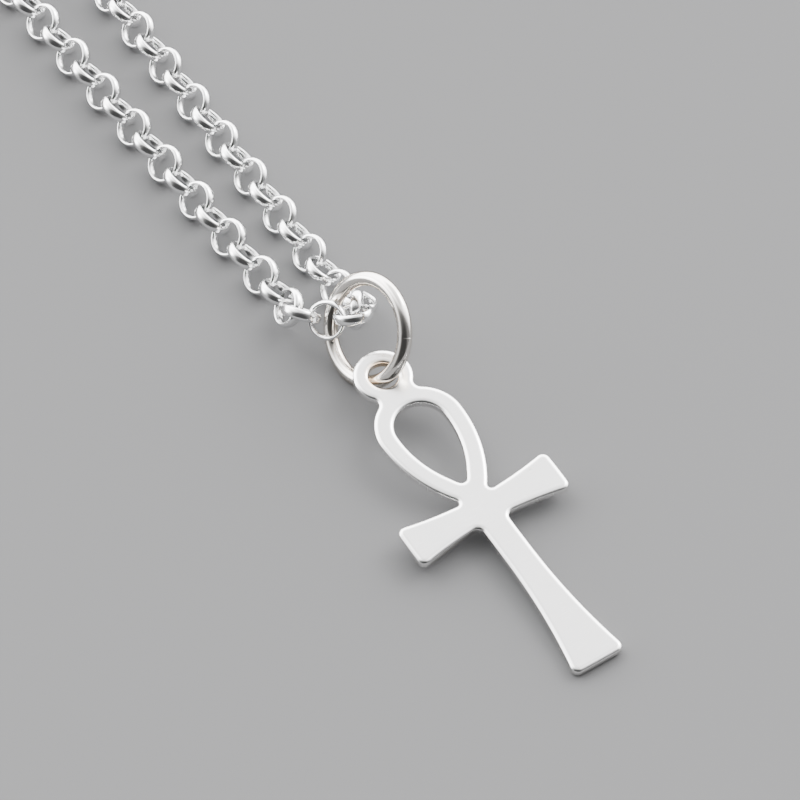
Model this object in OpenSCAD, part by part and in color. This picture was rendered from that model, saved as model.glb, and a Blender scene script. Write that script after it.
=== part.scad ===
// Silver ankh pendant on a belcher chain, laid on a flat surface.
// The ankh's foot and the jump ring rest on the surface, and the bail end is
// held up by the ring. X is across, Y runs from the foot towards the clasp, Z is up.
// Sizes are in millimetres.

/* [Ankh] */
// Height of the arms' middle above the foot
arm_y = 12.9; // [11:0.02:15]
// Span of the arms, tip to tip
arm_span = 11.25; // [9:0.05:14]
// Height of an arm at its tip
arm_tip_h = 3.2; // [2.6:0.02:4]
// Height of an arm at the stem
arm_root_h = 1.94; // [1.5:0.02:2.4]
// Width of the stem under the arms
stem_w = 1.98; // [1.6:0.02:2.6]
// Width of the stem at the foot
foot_w = 3.85; // [3:0.05:5]
// Width of the loop
loop_w = 6.04; // [5.4:0.02:7]
// Height of the loop's widest place above the arms' middle
loop_rise = 7.2; // [6.2:0.02:8.5]
// Width of the strap that makes the loop
strap_w = 1.26; // [1.1:0.05:1.7]
// Outer diameter of the bail
bail_d = 3.88; // [3.5:0.02:4.6]
// Diameter of the hole in the bail
bail_hole_d = 1.84; // [1.8:0.02:2.1]
// Cut that rounds off both rims of that hole
rim_cut = 0.2; // [0.16:0.01:0.24]
// Height of the bail's centre above the loop's widest place
bail_rise = 4.5; // [4.3:0.02:4.9]
// Thickness of the ankh's plate
plate_t = 0.65; // [0.55:0.05:0.75]
// How far the rounding of the foot's and the arms' corners reaches along their edges
corner_reach = 0.6; // [0.2:0.02:0.7]

/* [Jump ring] */
// Inner diameter of the jump ring
ring_inner_d = 5.75; // [5.5:0.05:6.5]
// Diameter of the jump ring's wire
ring_wire = 0.95; // [0.8:0.05:1]
// Lean of the jump ring up from lying flat, in degrees
ring_lean = 58; // [54:0.5:62]

/* [Chain] */
// Length of the necklace along its chain, clasp included
necklace_length = 450; // [400:1:460]
// Outer diameter of a chain link
link_od = 2.72; // [2.6:0.02:2.8]
// Thickness of a link's wire, from its flat inside to its round outside
link_t = 0.3; // [0.24:0.01:0.34]
// Width of a link's wire
link_w = 0.72; // [0.6:0.02:0.8]
// Gap left between linked links
link_gap = 0.13; // [0.12:0.01:0.16]

/* [Clasp] */
// Outer diameter of the clasp's ring
clasp_d = 7; // [6.6:0.1:8.5]
// Diameter of the clasp's tube
clasp_tube = 1.8; // [1.75:0.05:2]
// Diameter of the clasp's thin wire, which the end links hang on
clasp_wire = 0.5; // [0.4:0.02:0.54]
// Inner diameter of the clasp's small eye
clasp_eye_d = 2.8; // [2.7:0.05:3.2]
// Angle of the clasp's gate, where the thin wire shows
clasp_gate = 110; // [100:5:140]

/* [Hidden] */
$fn = 96;

// Longest step along a rounded stretch of the ankh's outline
outline_step = 0.25;

// The ankh's outline. Each row is a corner: x, y, and how far its rounding
// reaches along the two edges that meet there.
arm_low_y = arm_y - arm_root_h / 2;
arm_top_y = arm_y + arm_root_h / 2;
arm_flare = (arm_tip_h - arm_root_h) / 2;
tip_x = arm_span / 2;
half_foot = foot_w / 2;
half_stem = stem_w / 2;
// The stem's taper bends at this share of its height
stem_bend_y = 0.4 * arm_low_y;
stem_reach = 0.9 * stem_bend_y;
// The arms' flare starts halfway out, after a small share of it
arm_bend_x = (half_stem + tip_x) / 2;
flare_at_bend = 0.28 * arm_flare;
arm_reach = 0.75 * (tip_x - arm_bend_x);
notch_reach = 0.5;
loop_y = arm_y + loop_rise;
loop_r = loop_w / 2;
loop_bend_y = loop_y - 0.43 * loop_rise;
function half_outline() = [
    [half_foot, 0, corner_reach],
    [half_stem, stem_bend_y, stem_reach],
    [half_stem, arm_low_y, notch_reach],
    [arm_bend_x, arm_low_y - flare_at_bend, arm_reach],
    [tip_x, arm_low_y - arm_flare, corner_reach],
    [tip_x, arm_top_y + arm_flare, corner_reach],
    [arm_bend_x, arm_top_y + flare_at_bend, arm_reach],
    [0.9 * half_stem, arm_top_y, notch_reach],
    [loop_r, loop_bend_y, 0.98 * (loop_y - loop_bend_y)],
    [loop_r, loop_y + loop_r, loop_r]
];

// The opening of the loop, in the same columns
open_half = loop_r - strap_w;
open_tip_y = arm_y + 0.27 * loop_rise;
open_bend_y = open_tip_y + 0.4 * loop_rise;
open_top_y = loop_y + loop_r - strap_w;
function half_opening() = [
    [0, open_tip_y, 0.6],
    [open_half, open_bend_y, 0.3 * loop_rise],
    [open_half, open_top_y, open_half]
];

// The bail and the concave necks between it and the loop
bail_y = loop_y + bail_rise;
bail_r = bail_d / 2;
neck_r = 0.5;
// Centre of a neck's round, which touches the loop's top and the bail
neck_far = loop_r + neck_r;
neck_near = bail_r + neck_r;
neck_rise = (bail_rise * bail_rise + neck_far * neck_far - neck_near * neck_near) / (2 * bail_rise);
neck_out = sqrt(neck_far * neck_far - neck_rise * neck_rise);
neck_from = -atan2(neck_rise, neck_out);
neck_to = atan2(bail_rise - neck_rise, neck_out);
neck_steps = 12;
function neck_arc(side) = [
    for (i = [0 : neck_steps])
        let(t = neck_from + (neck_to - neck_from) * i / neck_steps)
        [side * (neck_out - neck_r * cos(t)), loop_y + neck_rise + neck_r * sin(t)]
];

// The jump ring stands in the bail's hole and on the surface
ring_r = (ring_inner_d + ring_wire) / 2;
ring_z = ring_r * sin(ring_lean) + ring_wire / 2;
// Place round the ring, in degrees, where the bail hangs on it, and the ring's own turn
ring_pass = 209;
ring_turn = 1.6;
// Where the wire passes through the bail's hole, from the hole's centre
pass_x = -0.14;
pass_y = -0.12;
function ring_point(a) = [
    -ring_r * cos(a) * sin(ring_turn) + ring_r * sin(a) * cos(ring_lean) * cos(ring_turn),
    ring_r * cos(a) * cos(ring_turn) + ring_r * sin(a) * cos(ring_lean) * sin(ring_turn),
    ring_r * sin(a) * sin(ring_lean)
];
pass_z = ring_z + ring_point(ring_pass).z;
// The plate's tilt puts the middle of its thickness at the height where the ring passes
plate_tilt = asin(pass_z / norm([bail_y, plate_t / 2])) - atan2(plate_t / 2, bail_y);
ring_x = pass_x - ring_point(ring_pass).x;
ring_y = bail_y * cos(plate_tilt) - plate_t / 2 * sin(plate_tilt) + pass_y - ring_point(ring_pass).y;

// A link's wire is half round, flat inside with its edges cut
link_cut = 0.1;
link_ri = link_od / 2 - link_t;
link_bulge = link_t - link_cut;
link_arc_r = (link_bulge * link_bulge + link_w * link_w / 4) / (2 * link_bulge);
link_arc_x = link_od / 2 - link_arc_r;
// Centre to centre along the chain, and the height of its middle above the surface
flat_half = link_w / 2 - link_cut;
pitch = 2 * sqrt(link_ri * link_ri - flat_half * flat_half) - link_gap;
lie_z = link_arc_x * sin(45) + link_arc_r;

// The chain's turn through the jump ring, link by link from the left strand to the
// right: x and y from the ring's centre, z above the surface, and roll about the chain
turn_route = [
    [-2.4, 7.14, 1.11, -40],
    [-2.6, 5.43, 1.61, 52],
    [-2.55, 3.97, 2.49, -50],
    [-1.5, 2.45, 2.75, 48],
    [-0.1, 1.5, 3.35, -34],
    [0.75, 2.5, 2.25, -90],
    [1.55, 3.57, 1.34, 28],
    [1.1, 5.27, 1.16, -48],
    [1.1, 7.09, 1.06, 40]
];

// Where each strand begins, out and along from the ring's centre, and its lean outwards
left_start = [2.5, 9, 2];
right_start = [1.15, 8.8, 1.3];
// The strands run on straight, open out and come round to the clasp
straight_len = 32;
open_r = 60;
open_turn = 22;

// The clasp's ring, eye and the places of the two end links
clasp_r = (clasp_d - clasp_tube) / 2;
clasp_z = clasp_tube / 2;
eye_ring_r = (clasp_eye_d + clasp_wire) / 2;
// The eye is sunk this far into the tube
eye_sink = 0.2;
clasp_eye_x = clasp_r + clasp_tube / 2 + eye_ring_r + clasp_wire / 2 - eye_sink;
// Slack between an end link and the wire that it hangs on
hook_slack = 1;
hook_offset = link_ri - clasp_wire / 2 - hook_slack;
hook_left = clasp_eye_x + eye_ring_r + hook_offset;
hook_right = clasp_r + hook_offset;
hook_half = (hook_left + hook_right) / 2;
clasp_x = (hook_left - hook_right) / 2;

// A strand in its own plane, out from the middle and along the necklace
function strand_turned(s) = s[2] + open_turn;
function strand_opened(s) = [
    s[0] + straight_len * sin(s[2]) + open_r * (cos(s[2]) - cos(strand_turned(s))),
    s[1] + straight_len * cos(s[2]) + open_r * (sin(strand_turned(s)) - sin(s[2]))
];
function round_share(s) = (1 + sin(strand_turned(s))) / cos(strand_turned(s));
// Length of the straight flank that takes the strand's far end to height y
function flank(s, y) =
    (y - strand_opened(s)[1] - (strand_opened(s)[0] - hook_half) * round_share(s))
    / (cos(strand_turned(s)) + tan(strand_turned(s)) * (1 + sin(strand_turned(s))));
function round_r(s, y) =
    (strand_opened(s)[0] - hook_half + flank(s, y) * sin(strand_turned(s))) / cos(strand_turned(s));
function arc_len(r, turn) = r * turn * PI / 180;
function strand_len(s, y) =
    straight_len + arc_len(open_r, open_turn) + flank(s, y) + arc_len(round_r(s, y), 90 + strand_turned(s));

// The far end's place, from the necklace's length and two trial places
turn_len = (len(turn_route) + 1) * pitch;
strands_len = necklace_length - turn_len - 2 * hook_half;
function both_len(y) = strand_len(left_start, y) + strand_len(right_start, y);
near_y = 100;
far_y = 200;
top_y = near_y + (strands_len - both_len(near_y)) * (far_y - near_y) / (both_len(far_y) - both_len(near_y));

// Point at distance d along a strand, as out and along
function strand_point(s, d) =
    let(a = s[2], b = strand_turned(s), open_len = arc_len(open_r, open_turn), f = flank(s, top_y))
    d <= straight_len ? [s[0] + d * sin(a), s[1] + d * cos(a)]
    : d <= straight_len + open_len
        ? let(t = a + (d - straight_len) / open_r * 180 / PI)
            [s[0] + straight_len * sin(a) + open_r * (cos(a) - cos(t)),
             s[1] + straight_len * cos(a) + open_r * (sin(t) - sin(a))]
    : d <= straight_len + open_len + f
        ? strand_opened(s) + (d - straight_len - open_len) * [sin(b), cos(b)]
    : let(r = round_r(s, top_y), t = b - (d - straight_len - open_len - f) / r * 180 / PI)
        [hook_half + r * cos(t), top_y - r - r * sin(t)];

function strand_count(s) = ceil(strand_len(s, top_y) / pitch);
left_count = strand_count(left_start);
right_count = strand_count(right_start);
function strand_links(s, count, side) = [
    for (i = [0 : count])
        let(q = strand_point(s, strand_len(s, top_y) * i / count))
        [ring_x + side * q[0], ring_y + q[1], lie_z]
];
function reversed(list) = [for (i = [len(list) - 1 : -1 : 0]) list[i]];

// Every link's place, from the clasp down the left strand, through the ring and back up the right
turn_points = [for (t = turn_route) [ring_x + t[0], ring_y + t[1], t[2]]];
link_points = concat(
    reversed(strand_links(left_start, left_count, -1)),
    turn_points,
    strand_links(right_start, right_count, 1)
);
link_rolls = concat(
    [for (i = [left_count : -1 : 0]) i % 2 == 0 ? 45 : -45],
    [for (t = turn_route) t[3]],
    [for (i = [0 : right_count]) i % 2 == 0 ? -45 : 45]
);
link_total = len(link_points);
left_total = left_count + 1 + floor(len(turn_route) / 2);

// The whole is set round the middle of its box
low_y = -plate_t * sin(plate_tilt);
high_y = ring_y + top_y + clasp_d / 2;
middle_y = (low_y + high_y) / 2;
left_reach = hook_half + round_r(left_start, top_y);
right_reach = hook_half + round_r(right_start, top_y);
middle_x = ring_x + (right_reach - left_reach) / 2;

silver = [0.86, 0.86, 0.87];
bright_silver = [0.92, 0.92, 0.93];

function unit(v) = v / norm(v);

// Points of a corner's rounding: p is the corner, a and b its neighbours
function rounded(a, p, b, reach) =
    let(
        u = unit(a - p),
        v = unit(b - p),
        half = acos(u * v) / 2,
        r = reach * tan(half),
        c = p + unit(u + v) * reach / cos(half),
        from = p + u * reach - c,
        sweep = 180 - 2 * half,
        way = cross(u, v) > 0 ? -1 : 1,
        steps = max(3, ceil(arc_len(r, sweep) / outline_step))
    )
    [for (i = [0 : steps])
        let(t = way * sweep * i / steps)
        c + [from.x * cos(t) - from.y * sin(t), from.x * sin(t) + from.y * cos(t)]];

// A closed outline from the corners of its right half
function mirrored_outline(half) =
    let(
        back = [for (i = [len(half) - 1 : -1 : 0]) if (half[i][0] > 0) [-half[i][0], half[i][1], half[i][2]]],
        all = concat(half, back),
        n = len(all)
    )
    [for (i = [0 : n - 1])
        let(
            p = [all[i][0], all[i][1]],
            a = [all[(i + n - 1) % n][0], all[(i + n - 1) % n][1]],
            b = [all[(i + 1) % n][0], all[(i + 1) % n][1]]
        )
        each rounded(a, p, b, all[i][2])];

module ankh_outline() {
    difference() {
        union() {
            polygon(mirrored_outline(half_outline()));
            polygon(concat([[0, loop_y]], neck_arc(1), [[0, bail_y]], reversed(neck_arc(-1))));
            translate([0, bail_y]) circle(bail_r);
        }
        polygon(mirrored_outline(half_opening()));
    }
}

// The hole through the bail, wider at both faces
module bail_hole() {
    past = 0.01;
    translate([0, bail_y, -plate_t]) cylinder(h = 3 * plate_t, d = bail_hole_d);
    for (face = [0, 1])
        translate([0, bail_y, face * plate_t])
            mirror([0, 0, face])
                translate([0, 0, -past])
                    cylinder(h = rim_cut + past, r1 = bail_hole_d / 2 + rim_cut + past, r2 = bail_hole_d / 2);
}

module placed() {
    translate([-middle_x, -middle_y, 0]) children();
}

module ankh() {
    color(bright_silver)
        placed()
            rotate([plate_tilt, 0, 0])
                difference() {
                    linear_extrude(plate_t) ankh_outline();
                    bail_hole();
                }
}

module jump_ring() {
    color(silver)
        placed()
            translate([ring_x, ring_y, ring_z])
                rotate([0, -ring_lean, ring_turn])
                    rotate_extrude() translate([ring_r, 0]) circle(d = ring_wire);
}

// The wire's section: a flat inner face, cut edges and a round back
module link_section() {
    intersection() {
        translate([link_arc_x, 0]) circle(link_arc_r);
        polygon([
            [link_ri, -flat_half],
            [link_ri + link_cut, -link_w / 2],
            [link_od, -link_w / 2],
            [link_od, link_w / 2],
            [link_ri + link_cut, link_w / 2],
            [link_ri, flat_half]
        ]);
    }
}

// Link i lies along the line between its neighbours, rolled about it
module chain_link(i) {
    along = unit(link_points[min(i + 1, link_total - 1)] - link_points[max(i - 1, 0)]);
    heading = atan2(along.y, along.x);
    climb = asin(along.z);
    translate(link_points[i])
        rotate([link_rolls[i], -climb, heading])
            rotate_extrude() link_section();
}

module chain_left() {
    color(bright_silver)
        placed()
            for (i = [0 : left_total - 1]) chain_link(i);
}

module chain_right() {
    color(bright_silver)
        placed()
            for (i = [left_total : link_total - 1]) chain_link(i);
}

// A plain clasp: most of its ring is a fat tube, the rest a thin wire, with a small eye
module clasp() {
    color(silver)
        placed()
            translate([ring_x + clasp_x, ring_y + top_y, clasp_z]) {
                rotate([0, 0, clasp_gate / 2])
                    rotate_extrude(angle = 360 - clasp_gate) translate([clasp_r, 0]) circle(d = clasp_tube);
                rotate_extrude() translate([clasp_r, 0]) circle(d = clasp_wire);
                translate([-clasp_eye_x, 0, 0])
                    rotate_extrude() translate([eye_ring_r, 0]) circle(d = clasp_wire);
            }
}

ankh();
jump_ring();
chain_left();
chain_right();
clasp();
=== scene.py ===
"""The looks of a silver ankh pendant on its belcher chain, laid on a plain pale floor."""

import math
import random

import bmesh
import bpy
import numpy as np
from mathutils import Matrix, Vector


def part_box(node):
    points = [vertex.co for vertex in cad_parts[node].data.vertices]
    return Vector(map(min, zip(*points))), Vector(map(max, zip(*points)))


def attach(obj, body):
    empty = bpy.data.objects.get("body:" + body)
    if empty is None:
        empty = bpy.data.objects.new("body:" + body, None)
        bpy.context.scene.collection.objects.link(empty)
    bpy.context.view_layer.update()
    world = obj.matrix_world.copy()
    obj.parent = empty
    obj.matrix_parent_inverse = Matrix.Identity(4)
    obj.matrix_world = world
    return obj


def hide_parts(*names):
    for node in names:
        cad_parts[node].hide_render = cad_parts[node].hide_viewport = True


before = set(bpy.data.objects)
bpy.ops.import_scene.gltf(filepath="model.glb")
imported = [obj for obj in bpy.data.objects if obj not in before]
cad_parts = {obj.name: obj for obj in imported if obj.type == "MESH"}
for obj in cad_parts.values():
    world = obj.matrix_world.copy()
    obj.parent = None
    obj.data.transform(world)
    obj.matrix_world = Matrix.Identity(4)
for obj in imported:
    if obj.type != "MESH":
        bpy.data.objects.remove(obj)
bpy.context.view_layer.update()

MM = 0.001
MERGE = 0.001 * MM

# The ankh's plate. A face belongs to the front where its normal is the plate's, within SAME_WAY.
# The rim is rounded over TOP_EASE and TOP_DROP in front and BACK_ROUND behind. The outline leaves
# out sides under TINY_SIDE, and corners of the rim nearer than CROWDED are joined.
SAME_WAY = 0.999
TOP_EASE = 0.34 * MM
TOP_DROP = 0.2 * MM
BACK_ROUND = 0.16 * MM
ROUND_STEPS = 6
FLAT_RIM = 0.03 * MM
BORE_EASE = 0.04 * MM
OUTLINE_STEP = 0.09 * MM
TINY_SIDE = 0.05 * MM
CROWDED = 0.004 * MM
HOLE_SEGMENTS = 64

# The jump ring, with the groove where its ends meet
RING_SEGMENTS = 144
WIRE_SEGMENTS = 36
# How strongly painted shade darkens and tints the inner side of the wire
RING_RECESS_SHADE = 0.7
SEAM_TURN = math.radians(304)
SEAM_NEAR = math.radians(6)
SEAM_HALF = 0.035 * MM
SEAM_DEPTH = 0.025 * MM
SEAM_SNAP = MERGE / 10

# The chain's links: their cage's half widths and widest place are shares of the link's own sizes
LINK_SEGMENTS = 18
LINK_FULLER = 0.03 * MM
LINK_INSIDE = 0.8
LINK_WIDEST = 1.12
LINK_WIDEST_AT = 0.4
LINK_OUTSIDE = 0.66
LINK_TONES = 0.4

# The clasp
CLASP_CREASE = math.radians(35)

# The finish; each pair is where a mask starts and where it is full, in its noise or distance
DRIFT_SCALE = 220.0
SCRATCH_TURNS = (0.35, 1.4, 2.5)
SCRATCH_STRETCH = (1, 26, 1)
SCRATCH_RANGE = (0.63, 0.72)
GRAIN_FINER = 5.0
GRAIN_SHARE = 0.08
PRICK_SCALE = 1500.0
PRICK_RANGE = (0.1, 0.04)
PRICK_PATCHES = (0.56, 0.64)
PRICK_COLOUR = (0.35, 0.33, 0.31)
# Painted shade in the recesses: darker and tan where less light falls, in patches of noise
RECESS_SHADE_SCALE = 1200.0
RECESS_SHADE_PATCHES = (0.35, 0.6)
RECESS_SHADE_LEAST = 0.45
RECESS_SHADE_COLOUR = (0.6, 0.48, 0.36)

# The studio; the tent's cloth goes from walls to roof by the height at its eaves
FLOOR_HALF = 3.0
FLOOR_COLOUR = (0.14, 0.14, 0.142)
FLOOR_ROUGHNESS = 0.9
FLOOR_SPECULAR = 0.1
TENT_WALLS = 0.3
TENT_ROOF = 0.32
TENT_EAVES = 0.55
# Parts of the tent: azimuth, elevation, degrees to where it is full and to where it ends, and how
# many times as bright it is. First the broad bright wall far off, then a dimmer roof that the plate
# mirrors, a glow on the left and the dark side at the camera.
TENT_PATCHES = (
    (0, 8, 45, 106, 34),
    (6, 70, 14, 34, 0.3),
    (-98, 8, 8, 32, 3.2),
    (186, 20, 24, 62, 0.2),
)

# The soft lamp: azimuth, elevation, side and brightness
LAMP_DISTANCE = 0.6
RIGHT_BOX = (50, 36, 0.22, 10)

# The view
LENS = 180
SENSOR = 36
LENS_NEAR = 0.01
CAMERA_DISTANCE = 257.4 * MM
CAMERA_AZIMUTH = -33.0
CAMERA_ELEVATION = 53.84
AIM_ACROSS = 0.693 * MM
AIM_ALONG = 23.648 * MM


def add_piece(name, bm, material, slot, *nodes):
    """A finished piece that rides on the part and stands for the CAD nodes."""
    mesh = bpy.data.meshes.new(name)
    bm.to_mesh(mesh)
    bm.free()
    mesh.materials.append(material)
    mesh.shade_smooth()
    piece = bpy.data.objects.new(name, mesh)
    bpy.context.scene.collection.objects.link(piece)
    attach(piece, "root")
    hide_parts(*nodes)
    return piece


def add_values(piece, name, values):
    """One number for each corner of a finished piece, which its material reads by name."""
    piece.data.attributes.new(name, "FLOAT", "POINT").data.foreach_set("value", values)


def node_bmesh(node):
    """A copy of a CAD node's mesh with its touching corners joined."""
    bm = bmesh.new()
    bm.from_mesh(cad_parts[node].data)
    bmesh.ops.remove_doubles(bm, verts=bm.verts, dist=MERGE)
    return bm


def loose_parts(bm):
    """The corners of each loose part, as arrays, in the mesh's own order."""
    parts = []
    for vert in bm.verts:
        vert.tag = False
    for start in bm.verts:
        if start.tag:
            continue
        start.tag = True
        waiting = [start]
        corners = []
        while waiting:
            vert = waiting.pop()
            corners.append(vert.co[:])
            for edge in vert.link_edges:
                other = edge.other_vert(vert)
                if not other.tag:
                    other.tag = True
                    waiting.append(other)
        parts.append(np.array(corners))
    return parts


def ring_facts(corners):
    """Centre, axis, inner radius, outer radius and half width of a round ring."""
    centre = corners.mean(0)
    out = corners - centre
    axis = np.linalg.eigh(out.T @ out)[1][:, 0]
    axis = axis * (1 if axis[2] >= 0 else -1)
    along = out @ axis
    radial = np.linalg.norm(out - np.outer(along, axis), axis=1)
    return Vector(centre), Vector(axis), radial.min(), radial.max(), np.abs(along).max()


def turned_to(centre, axis):
    """The matrix that takes a ring made flat at the origin to its place."""
    return Matrix.Translation(centre) @ axis.to_track_quat("Z", "X").to_matrix().to_4x4()


def spun_ring(profile, segments):
    """A closed ring from a closed profile of (radius, height) corners."""
    bm = bmesh.new()
    verts = [bm.verts.new((radius, 0, height)) for radius, height in profile]
    edges = [bm.edges.new((verts[i - 1], verts[i])) for i in range(len(verts))]
    bmesh.ops.spin(
        bm, geom=verts + edges, cent=(0, 0, 0), axis=(0, 0, 1), dvec=(0, 0, 0),
        angle=2 * math.pi, steps=segments, use_merge=True, use_duplicate=False,
    )
    bmesh.ops.remove_doubles(bm, verts=bm.verts, dist=MERGE)
    bmesh.ops.recalc_face_normals(bm, faces=bm.faces)
    return bm


def boundary_loops(bm):
    """The open edges of a sheet as ordered lists of places."""
    after = {}
    for edge in bm.edges:
        if edge.is_boundary:
            corner = edge.link_loops[0]
            after[corner.vert] = corner.link_loop_next.vert
    loops = []
    for start in bm.verts:
        loop = []
        while start in after:
            loop.append(start.co.copy())
            start = after.pop(start)
        if loop:
            loops.append(loop)
    return loops


def curved(loop, normal):
    """A closed outline as smooth curves: fine places, each with its way out of the plate."""
    loop = [place for i, place in enumerate(loop) if (place - loop[i - 1]).length > TINY_SIDE]
    count = len(loop)
    sides = [loop[(i + 1) % count] - loop[i] for i in range(count)]
    tangents = [(sides[i - 1] + sides[i]).normalized() for i in range(count)]
    outline = []
    for i in range(count):
        first, last, reach = loop[i], loop[(i + 1) % count], sides[i].length
        start, end = tangents[i] * reach, tangents[(i + 1) % count] * reach
        cuts = max(1, math.ceil(reach / OUTLINE_STEP))
        for k in range(cuts):
            t = k / cuts
            place = (
                first * (1 + 2 * t) * (1 - t) ** 2 + last * t * t * (3 - 2 * t)
                + start * t * (1 - t) ** 2 + end * t * t * (t - 1)
            )
            along = (
                (last - first) * 6 * t * (1 - t)
                + start * (1 - t) * (1 - 3 * t) + end * t * (3 * t - 2)
            )
            outline.append((place, along.cross(normal).normalized()))
    return outline


def round_hole(centre, normal, across, radius):
    """The bail's hole, in the same form."""
    outline = []
    for k in range(HOLE_SEGMENTS):
        way = Matrix.Rotation(-2 * math.pi * k / HOLE_SEGMENTS, 3, normal) @ across
        outline.append((centre + way * radius, -way))
    return outline


def plate_section(thickness):
    """Steps of the plate's rim, from its face round to its back, as (inset, depth)."""
    section = [(TOP_EASE + FLAT_RIM, 0)]
    for k in range(ROUND_STEPS + 1):
        turn = math.pi / 2 * k / ROUND_STEPS
        section.append((TOP_EASE * (1 - math.sin(turn)), TOP_DROP * (1 - math.cos(turn))))
    for k in range(ROUND_STEPS + 1):
        turn = math.pi / 2 * k / ROUND_STEPS
        section.append((BACK_ROUND * (1 - math.cos(turn)), thickness - BACK_ROUND * (1 - math.sin(turn))))
    section.append((BACK_ROUND + FLAT_RIM, thickness))
    return section


def make_ankh(material):
    """The plate, with its rims rounded as polishing leaves them."""
    bm = node_bmesh("ankh")
    normal = max(bm.faces, key=lambda face: face.calc_area()).normal.copy()
    normal = normal if normal.z > 0 else -normal
    heights = [vert.co.dot(normal) for vert in bm.verts]
    thickness = max(heights) - min(heights)
    corners = [vert.co.copy() for vert in bm.verts]
    others = [face for face in bm.faces if face.normal.dot(normal) < SAME_WAY]
    bmesh.ops.delete(bm, geom=others, context="FACES")
    loops = sorted(boundary_loops(bm), key=len)
    bm.free()

    lengths = [sum((a - b).length for a, b in zip(loop, loop[1:] + loop[:1])) for loop in loops]
    hole = loops[lengths.index(min(lengths))]
    centre = sum(hole, Vector()) / len(hole)
    bore = min((c - centre - normal * (c - centre).dot(normal)).length for c in corners)
    across = (hole[0] - centre).normalized()

    bm = bmesh.new()
    for loop in loops:
        if loop is hole:
            outline = round_hole(centre, normal, across, bore + BORE_EASE)
        else:
            outline = curved(loop, normal)
        rings = []
        for inset, depth in plate_section(thickness):
            rings.append([bm.verts.new(place - out * inset - normal * depth) for place, out in outline])
        for upper, lower in zip(rings, rings[1:]):
            for i in range(len(upper)):
                bm.faces.new((upper[i - 1], upper[i], lower[i], lower[i - 1]))
    bmesh.ops.remove_doubles(bm, verts=bm.verts, dist=CROWDED)
    rims = [edge for edge in bm.edges if edge.is_boundary]
    halfway = max(heights) - thickness / 2
    for face_up in (True, False):
        edges = [edge for edge in rims if (edge.verts[0].co.dot(normal) > halfway) == face_up]
        bmesh.ops.triangle_fill(bm, edges=edges, use_beauty=True, normal=normal)
    bmesh.ops.recalc_face_normals(bm, faces=bm.faces)
    # The bail's bore is marked as a recess, where the material paints shade
    recess = []
    for vert in bm.verts:
        out = vert.co - centre
        away = (out - normal * out.dot(normal)).length - bore - BORE_EASE
        recess.append(1 - min(1, max(0, away / TOP_EASE)))
    piece = add_piece("ankh_plate", bm, material, "ankh_silver", "ankh")
    add_values(piece, "recess", recess)
    return piece


def cut_seam(bm, middle, half):
    """A fine groove across the wire, where the ring's ends are pressed together."""
    way = Vector((math.cos(SEAM_TURN), math.sin(SEAM_TURN), 0))
    for shift in (-SEAM_HALF, SEAM_HALF, 0):
        turn = SEAM_TURN + shift / middle
        along = Vector((-math.sin(turn), math.cos(turn), 0))
        near = [face for face in bm.faces if face.calc_center_median().angle(way) < SEAM_NEAR]
        geom = set(near)
        for face in near:
            geom.update(face.edges)
            geom.update(face.verts)
        bmesh.ops.bisect_plane(bm, geom=list(geom), dist=SEAM_SNAP, plane_co=(0, 0, 0), plane_no=along)
    core = way * middle
    for vert in bm.verts:
        if (vert.co - core).length < 2 * half and abs(vert.co.dot(along)) < MERGE:
            vert.co = core + (vert.co - core) * (1 - SEAM_DEPTH / half)


def make_jump_ring(material):
    """Round wire closed into a ring, with the fine line where its ends meet."""
    bm = node_bmesh("jump_ring")
    corners = np.array([vert.co[:] for vert in bm.verts])
    bm.free()
    centre, axis, inner, outer, half = ring_facts(corners)
    middle = (inner + outer) / 2
    profile = []
    for k in range(WIRE_SEGMENTS):
        turn = 2 * math.pi * k / WIRE_SEGMENTS
        profile.append((middle + half * math.cos(turn), half * math.sin(turn)))
    bm = spun_ring(profile, RING_SEGMENTS)
    cut_seam(bm, middle, half)
    # The inner side of the wire is marked as a recess, where the material paints shade
    recess = [max(0, middle - vert.co.xy.length) / half for vert in bm.verts]
    bmesh.ops.transform(bm, matrix=turned_to(centre, axis), verts=bm.verts)
    piece = add_piece("ring_wire", bm, material, "ring_silver", "jump_ring")
    add_values(piece, "recess", [RING_RECESS_SHADE * depth * depth for depth in recess])
    return piece


def make_link(inner, outer, half):
    """One link, as a rough cage that a subdivision smooths: flat inside and domed outside.

    A smoothed corner moves a quarter of the way to the middle of its neighbours, so the cage is
    swelled by as much as that draws its round in.
    """
    inner = inner - LINK_FULLER
    swell = 1 / (0.75 + 0.25 * math.cos(2 * math.pi / LINK_SEGMENTS))
    widest = inner + LINK_WIDEST_AT * (outer - inner)
    profile = [
        (inner, -LINK_INSIDE * half),
        (inner, LINK_INSIDE * half),
        (widest, LINK_WIDEST * half),
        (outer, LINK_OUTSIDE * half),
        (outer, -LINK_OUTSIDE * half),
        (widest, -LINK_WIDEST * half),
    ]
    return spun_ring([(radius * swell, height) for radius, height in profile], LINK_SEGMENTS)


def make_chain(name, node, material, seed):
    """A strand of round links, each where its solid lies."""
    chance = random.Random(seed)
    bm = node_bmesh(node)
    rings = [ring_facts(corners) for corners in loose_parts(bm)]
    bm.free()
    sizes = [float(np.median(size)) for size in list(zip(*rings))[2:]]
    link = make_link(*sizes)
    strand = bmesh.new()
    spare = bpy.data.meshes.new("spare")
    tones = []
    for centre, axis, *_ in rings:
        turn = Matrix.Rotation(chance.uniform(0, 2 * math.pi), 4, "Z")
        copy = link.copy()
        copy.transform(turned_to(centre, axis) @ turn)
        copy.to_mesh(spare)
        copy.free()
        strand.from_mesh(spare)
        tones += [chance.uniform(-LINK_TONES, LINK_TONES)] * len(link.verts)
    link.free()
    bpy.data.meshes.remove(spare)
    piece = add_piece(name, strand, material, "chain_silver", node)
    add_values(piece, "tone", tones)
    smoother = piece.modifiers.new("smoother", "SUBSURF")
    smoother.levels = 1
    smoother.render_levels = 1
    return piece


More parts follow.
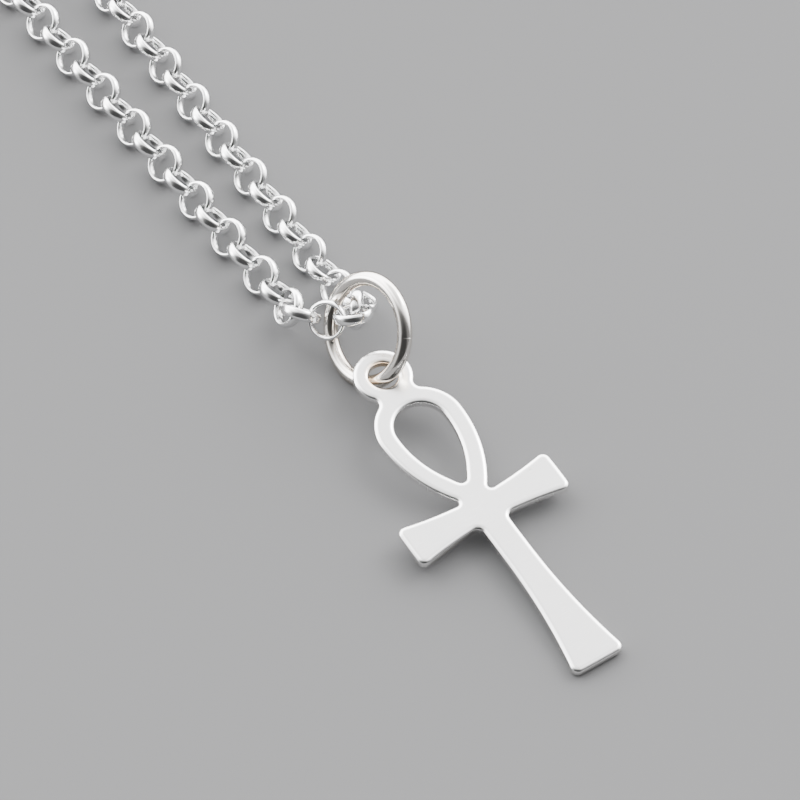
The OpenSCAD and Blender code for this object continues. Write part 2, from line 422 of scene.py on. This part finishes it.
def make_clasp(material):
    """The plain clasp at the back of the neck."""
    bm = node_bmesh("clasp")
    piece = add_piece("clasp_ring", bm, material, "ring_silver", "clasp")
    piece.data.set_sharp_from_angle(angle=CLASP_CREASE)
    return piece


def add_node(tree, kind, values=(), **settings):
    """A node with its settings, and its inputs filled with values or linked sockets."""
    node = tree.nodes.new(kind)
    for key, value in settings.items():
        setattr(node, key, value)
    for key, value in dict(values).items():
        if isinstance(value, bpy.types.NodeSocket):
            tree.links.new(value, node.inputs[key])
        else:
            node.inputs[key].default_value = value
    return node


def add_mask(tree, value, limits, low=0.0, high=1.0):
    """A value turned into a mask that goes from low to high between two limits."""
    ramp = add_node(tree, "ShaderNodeMapRange", {
        "Value": value, "From Min": limits[0], "From Max": limits[1], "To Min": low, "To Max": high,
    })
    return ramp.outputs["Result"]


def add_noise(tree, place, scale, detail=2.0):
    """Soft noise at a place."""
    noise = add_node(tree, "ShaderNodeTexNoise", {"Vector": place, "Scale": scale, "Detail": detail})
    return noise.outputs["Fac"]


def add_maths(tree, operation, first, second):
    """One step of arithmetic with two numbers."""
    return add_node(tree, "ShaderNodeMath", {0: first, 1: second}, operation=operation).outputs["Value"]


def add_mix(tree, mask, first, second):
    """One colour over another, by a mask."""
    mix = add_node(tree, "ShaderNodeMix", {"Factor": mask, "A": first, "B": second}, data_type="RGBA")
    return mix.outputs["Result"]


def new_group(name, inputs, outputs):
    """An empty shader group with its named sockets, inside it: what comes in and what goes out."""
    group = bpy.data.node_groups.new(name, "ShaderNodeTree")
    for label, kind in inputs:
        group.interface.new_socket(name=label, in_out="INPUT", socket_type=kind)
    for label, kind in outputs:
        group.interface.new_socket(name=label, in_out="OUTPUT", socket_type=kind)
    return group, group.nodes.new("NodeGroupInput").outputs, group.nodes.new("NodeGroupOutput").inputs


def scratch_group():
    """Hairline scratches in three directions, as a mask."""
    group, inputs, outputs = new_group(
        "hairlines", [("Vector", "NodeSocketVector"), ("Scale", "NodeSocketFloat")],
        [("Mask", "NodeSocketFloat")],
    )
    mask = None
    for turn in SCRATCH_TURNS:
        lined = add_node(group, "ShaderNodeMapping", {
            "Vector": inputs["Vector"],
            "Rotation": (0, 0, turn),
            "Location": (turn, 2 * turn, 0),
            "Scale": SCRATCH_STRETCH,
        })
        line = add_mask(group, add_noise(group, lined.outputs["Vector"], inputs["Scale"]), SCRATCH_RANGE)
        mask = line if mask is None else add_maths(group, "MAXIMUM", mask, line)
    group.links.new(mask, outputs["Mask"])
    return group


def wave_group():
    """The slow waves and fine grain that polishing leaves, as a height."""
    group, inputs, outputs = new_group(
        "polish_waves", [("Vector", "NodeSocketVector"), ("Size", "NodeSocketFloat")],
        [("Height", "NodeSocketFloat")],
    )
    slow = add_noise(group, inputs["Vector"], inputs["Size"], detail=1.0)
    finer = add_maths(group, "MULTIPLY", inputs["Size"], GRAIN_FINER)
    quick = add_noise(group, inputs["Vector"], finer, detail=3.0)
    grain = add_maths(group, "MULTIPLY", quick, GRAIN_SHARE)
    group.links.new(add_maths(group, "ADD", slow, grain), outputs["Height"])
    return group


def pit_group():
    """Sparse pin pricks, as a mask."""
    group, inputs, outputs = new_group(
        "pin_pricks", [("Vector", "NodeSocketVector"), ("Scale", "NodeSocketFloat")],
        [("Mask", "NodeSocketFloat")],
    )
    cells = add_node(group, "ShaderNodeTexVoronoi", {"Vector": inputs["Vector"], "Scale": inputs["Scale"]})
    dots = add_mask(group, cells.outputs["Distance"], PRICK_RANGE)
    patches = add_mask(group, add_noise(group, inputs["Vector"], inputs["Scale"]), PRICK_PATCHES)
    group.links.new(add_maths(group, "MULTIPLY", dots, patches), outputs["Mask"])
    return group


def recess_shade_group():
    """Painted shade: where the silver is made darker and tan, in its recesses where less light falls, in
    patches.
    """
    group, inputs, outputs = new_group(
        "painted_shade",
        [("Vector", "NodeSocketVector"), ("Recess", "NodeSocketFloat"), ("Scale", "NodeSocketFloat")],
        [("Mask", "NodeSocketFloat")],
    )
    noise = add_noise(group, inputs["Vector"], inputs["Scale"], detail=3.0)
    patches = add_mask(group, noise, RECESS_SHADE_PATCHES, RECESS_SHADE_LEAST)
    group.links.new(add_maths(group, "MULTIPLY", inputs["Recess"], patches), outputs["Mask"])
    return group


def make_silver(name, groups, finish):
    """Polished sterling silver: a soft mirror with hairlines, pin pricks and slow waves."""
    material = bpy.data.materials.new(name)
    material.use_nodes = True
    tree = material.node_tree
    shader = tree.nodes["Principled BSDF"]
    shader.inputs["Metallic"].default_value = 1.0
    shader.inputs["Specular Tint"].default_value = (*finish["edge"], 1)
    place = add_node(tree, "ShaderNodeTexCoord").outputs["Object"]
    recess = add_node(tree, "ShaderNodeAttribute", attribute_name="recess").outputs["Fac"]
    tone = add_node(tree, "ShaderNodeAttribute", attribute_name="tone").outputs["Fac"]

    def effect(kind, **values):
        """One of the shared effects, with this finish's values."""
        return add_node(tree, "ShaderNodeGroup", {"Vector": place, **values}, node_tree=groups[kind])

    lines = effect("lines", Scale=finish["line_scale"]).outputs["Mask"]
    waves = effect("waves", Size=finish["wave_size"]).outputs["Height"]
    pricks = effect("pricks", Scale=PRICK_SCALE).outputs["Mask"]
    # Painted shade, darker and tan, in the recesses
    recess_shade = effect("painted_shade", Recess=recess, Scale=RECESS_SHADE_SCALE).outputs["Mask"]

    roughness = add_mask(tree, lines, (0.0, 1.0), finish["rough"], finish["worn"])
    tree.links.new(roughness, shader.inputs["Roughness"])
    drift = add_noise(tree, place, DRIFT_SCALE, detail=1.0)
    shade = add_maths(tree, "ADD", tone, drift)
    colour = add_mix(tree, shade, (*finish["dull"], 1), (*finish["bright"], 1))
    colour = add_mix(tree, pricks, colour, (*PRICK_COLOUR, 1))
    colour = add_mix(tree, recess_shade, colour, (*RECESS_SHADE_COLOUR, 1))
    tree.links.new(colour, shader.inputs["Base Color"])
    bump = add_node(tree, "ShaderNodeBump", {
        "Height": waves, "Strength": 1.0, "Distance": finish["wave_depth"],
    })
    tree.links.new(bump.outputs["Normal"], shader.inputs["Normal"])
    return material


def make_floor():
    """A plain pale floor, wide enough for a low camera."""
    bm = bmesh.new()
    bmesh.ops.create_grid(bm, x_segments=1, y_segments=1, size=FLOOR_HALF)
    mesh = bpy.data.meshes.new("floor")
    bm.to_mesh(mesh)
    bm.free()
    material = bpy.data.materials.new("pale_floor")
    material.use_nodes = True
    shader = material.node_tree.nodes["Principled BSDF"]
    shader.inputs["Base Color"].default_value = (*FLOOR_COLOUR, 1)
    shader.inputs["Roughness"].default_value = FLOOR_ROUGHNESS
    shader.inputs["Specular IOR Level"].default_value = FLOOR_SPECULAR
    mesh.materials.append(material)
    floor = bpy.data.objects.new("floor", mesh)
    bpy.context.scene.collection.objects.link(floor)


def direction(azimuth, elevation):
    """Unit vector from the pendant; azimuth 0 is straight away from the camera and 90 to its right."""
    a, e = math.radians(azimuth - CAMERA_AZIMUTH), math.radians(elevation)
    return Vector((math.sin(a) * math.cos(e), math.cos(a) * math.cos(e), math.sin(e)))


def add_softbox(name, aim, azimuth, elevation, size, brightness):
    """A square soft lamp that faces the pendant; brightness is that of its white cloth."""
    lamp = bpy.data.lights.new(name, "AREA")
    lamp.shape = "SQUARE"
    lamp.size = size
    lamp.energy = brightness * math.pi * size * size
    body = bpy.data.objects.new(name, lamp)
    way = direction(azimuth, elevation)
    body.location = aim + way * LAMP_DISTANCE
    body.rotation_euler = way.to_track_quat("Z", "Y").to_euler()
    bpy.context.scene.collection.objects.link(body)


def make_tent():
    """A light tent, which the silver mirrors: dim cloth with brighter and darker parts."""
    world = bpy.data.worlds.new("light_tent")
    bpy.context.scene.world = world
    world.use_nodes = True
    tree = world.node_tree
    way = add_node(tree, "ShaderNodeTexCoord").outputs["Generated"]
    height = add_node(tree, "ShaderNodeSeparateXYZ", {"Vector": way}).outputs["Z"]
    light = add_mask(tree, height, (0.0, TENT_EAVES), TENT_WALLS, TENT_ROOF)
    for azimuth, elevation, inner, outer, change in TENT_PATCHES:
        middle = direction(azimuth, elevation)
        near = add_node(tree, "ShaderNodeVectorMath", {0: way, 1: middle}, operation="DOT_PRODUCT")
        patch = add_node(tree, "ShaderNodeMapRange", {
            "Value": near.outputs["Value"], "From Min": math.cos(math.radians(outer)),
            "From Max": math.cos(math.radians(inner)), "To Min": 1.0, "To Max": change,
        }, interpolation_type="SMOOTHSTEP")
        light = add_maths(tree, "MULTIPLY", light, patch.outputs["Result"])
    tree.nodes["Background"].inputs["Color"].default_value = (1, 1, 1, 1)
    tree.links.new(light, tree.nodes["Background"].inputs["Strength"])


def make_camera(aim):
    """A long lens at the photographed angle."""
    lens = bpy.data.cameras.new("camera")
    lens.lens = LENS
    lens.sensor_width = SENSOR
    lens.clip_start = LENS_NEAR
    body = bpy.data.objects.new("camera", lens)
    back = direction(180, CAMERA_ELEVATION)
    body.location = aim + back * CAMERA_DISTANCE
    body.rotation_euler = back.to_track_quat("Z", "Y").to_euler()
    bpy.context.scene.collection.objects.link(body)
    bpy.context.scene.camera = body


ankh_low, ankh_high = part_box("ankh")
aim = Vector(((ankh_low.x + ankh_high.x) / 2 + AIM_ACROSS, ankh_low.y + AIM_ALONG, 0))
make_camera(aim)
make_floor()
make_tent()
add_softbox("right_box", aim, *RIGHT_BOX)

groups = {
    "lines": scratch_group(), "waves": wave_group(), "pricks": pit_group(), "painted_shade": recess_shade_group(),
}
plate_silver = make_silver("plate_silver", groups, {
    "dull": (0.89, 0.88, 0.875), "bright": (0.94, 0.935, 0.93), "edge": (0.85, 0.83, 0.8),
    "rough": 0.22, "worn": 0.28, "line_scale": 900, "wave_size": 500, "wave_depth": 0.004 * MM,
})
wire_silver = make_silver("wire_silver", groups, {
    "dull": (0.76, 0.73, 0.69), "bright": (0.92, 0.89, 0.85), "edge": (0.55, 0.5, 0.43),
    "rough": 0.11, "worn": 0.18, "line_scale": 900, "wave_size": 900, "wave_depth": 0.002 * MM,
})
link_silver = make_silver("link_silver", groups, {
    "dull": (0.9, 0.9, 0.9), "bright": (0.99, 0.99, 0.99), "edge": (0.7, 0.7, 0.7),
    "rough": 0.17, "worn": 0.24, "line_scale": 1500, "wave_size": 1500, "wave_depth": 0.003 * MM,
})

make_ankh(plate_silver)
make_jump_ring(wire_silver)
make_chain("left_strand", "chain_left", link_silver, seed=11)
make_chain("right_strand", "chain_right", link_silver, seed=23)
make_clasp(wire_silver)
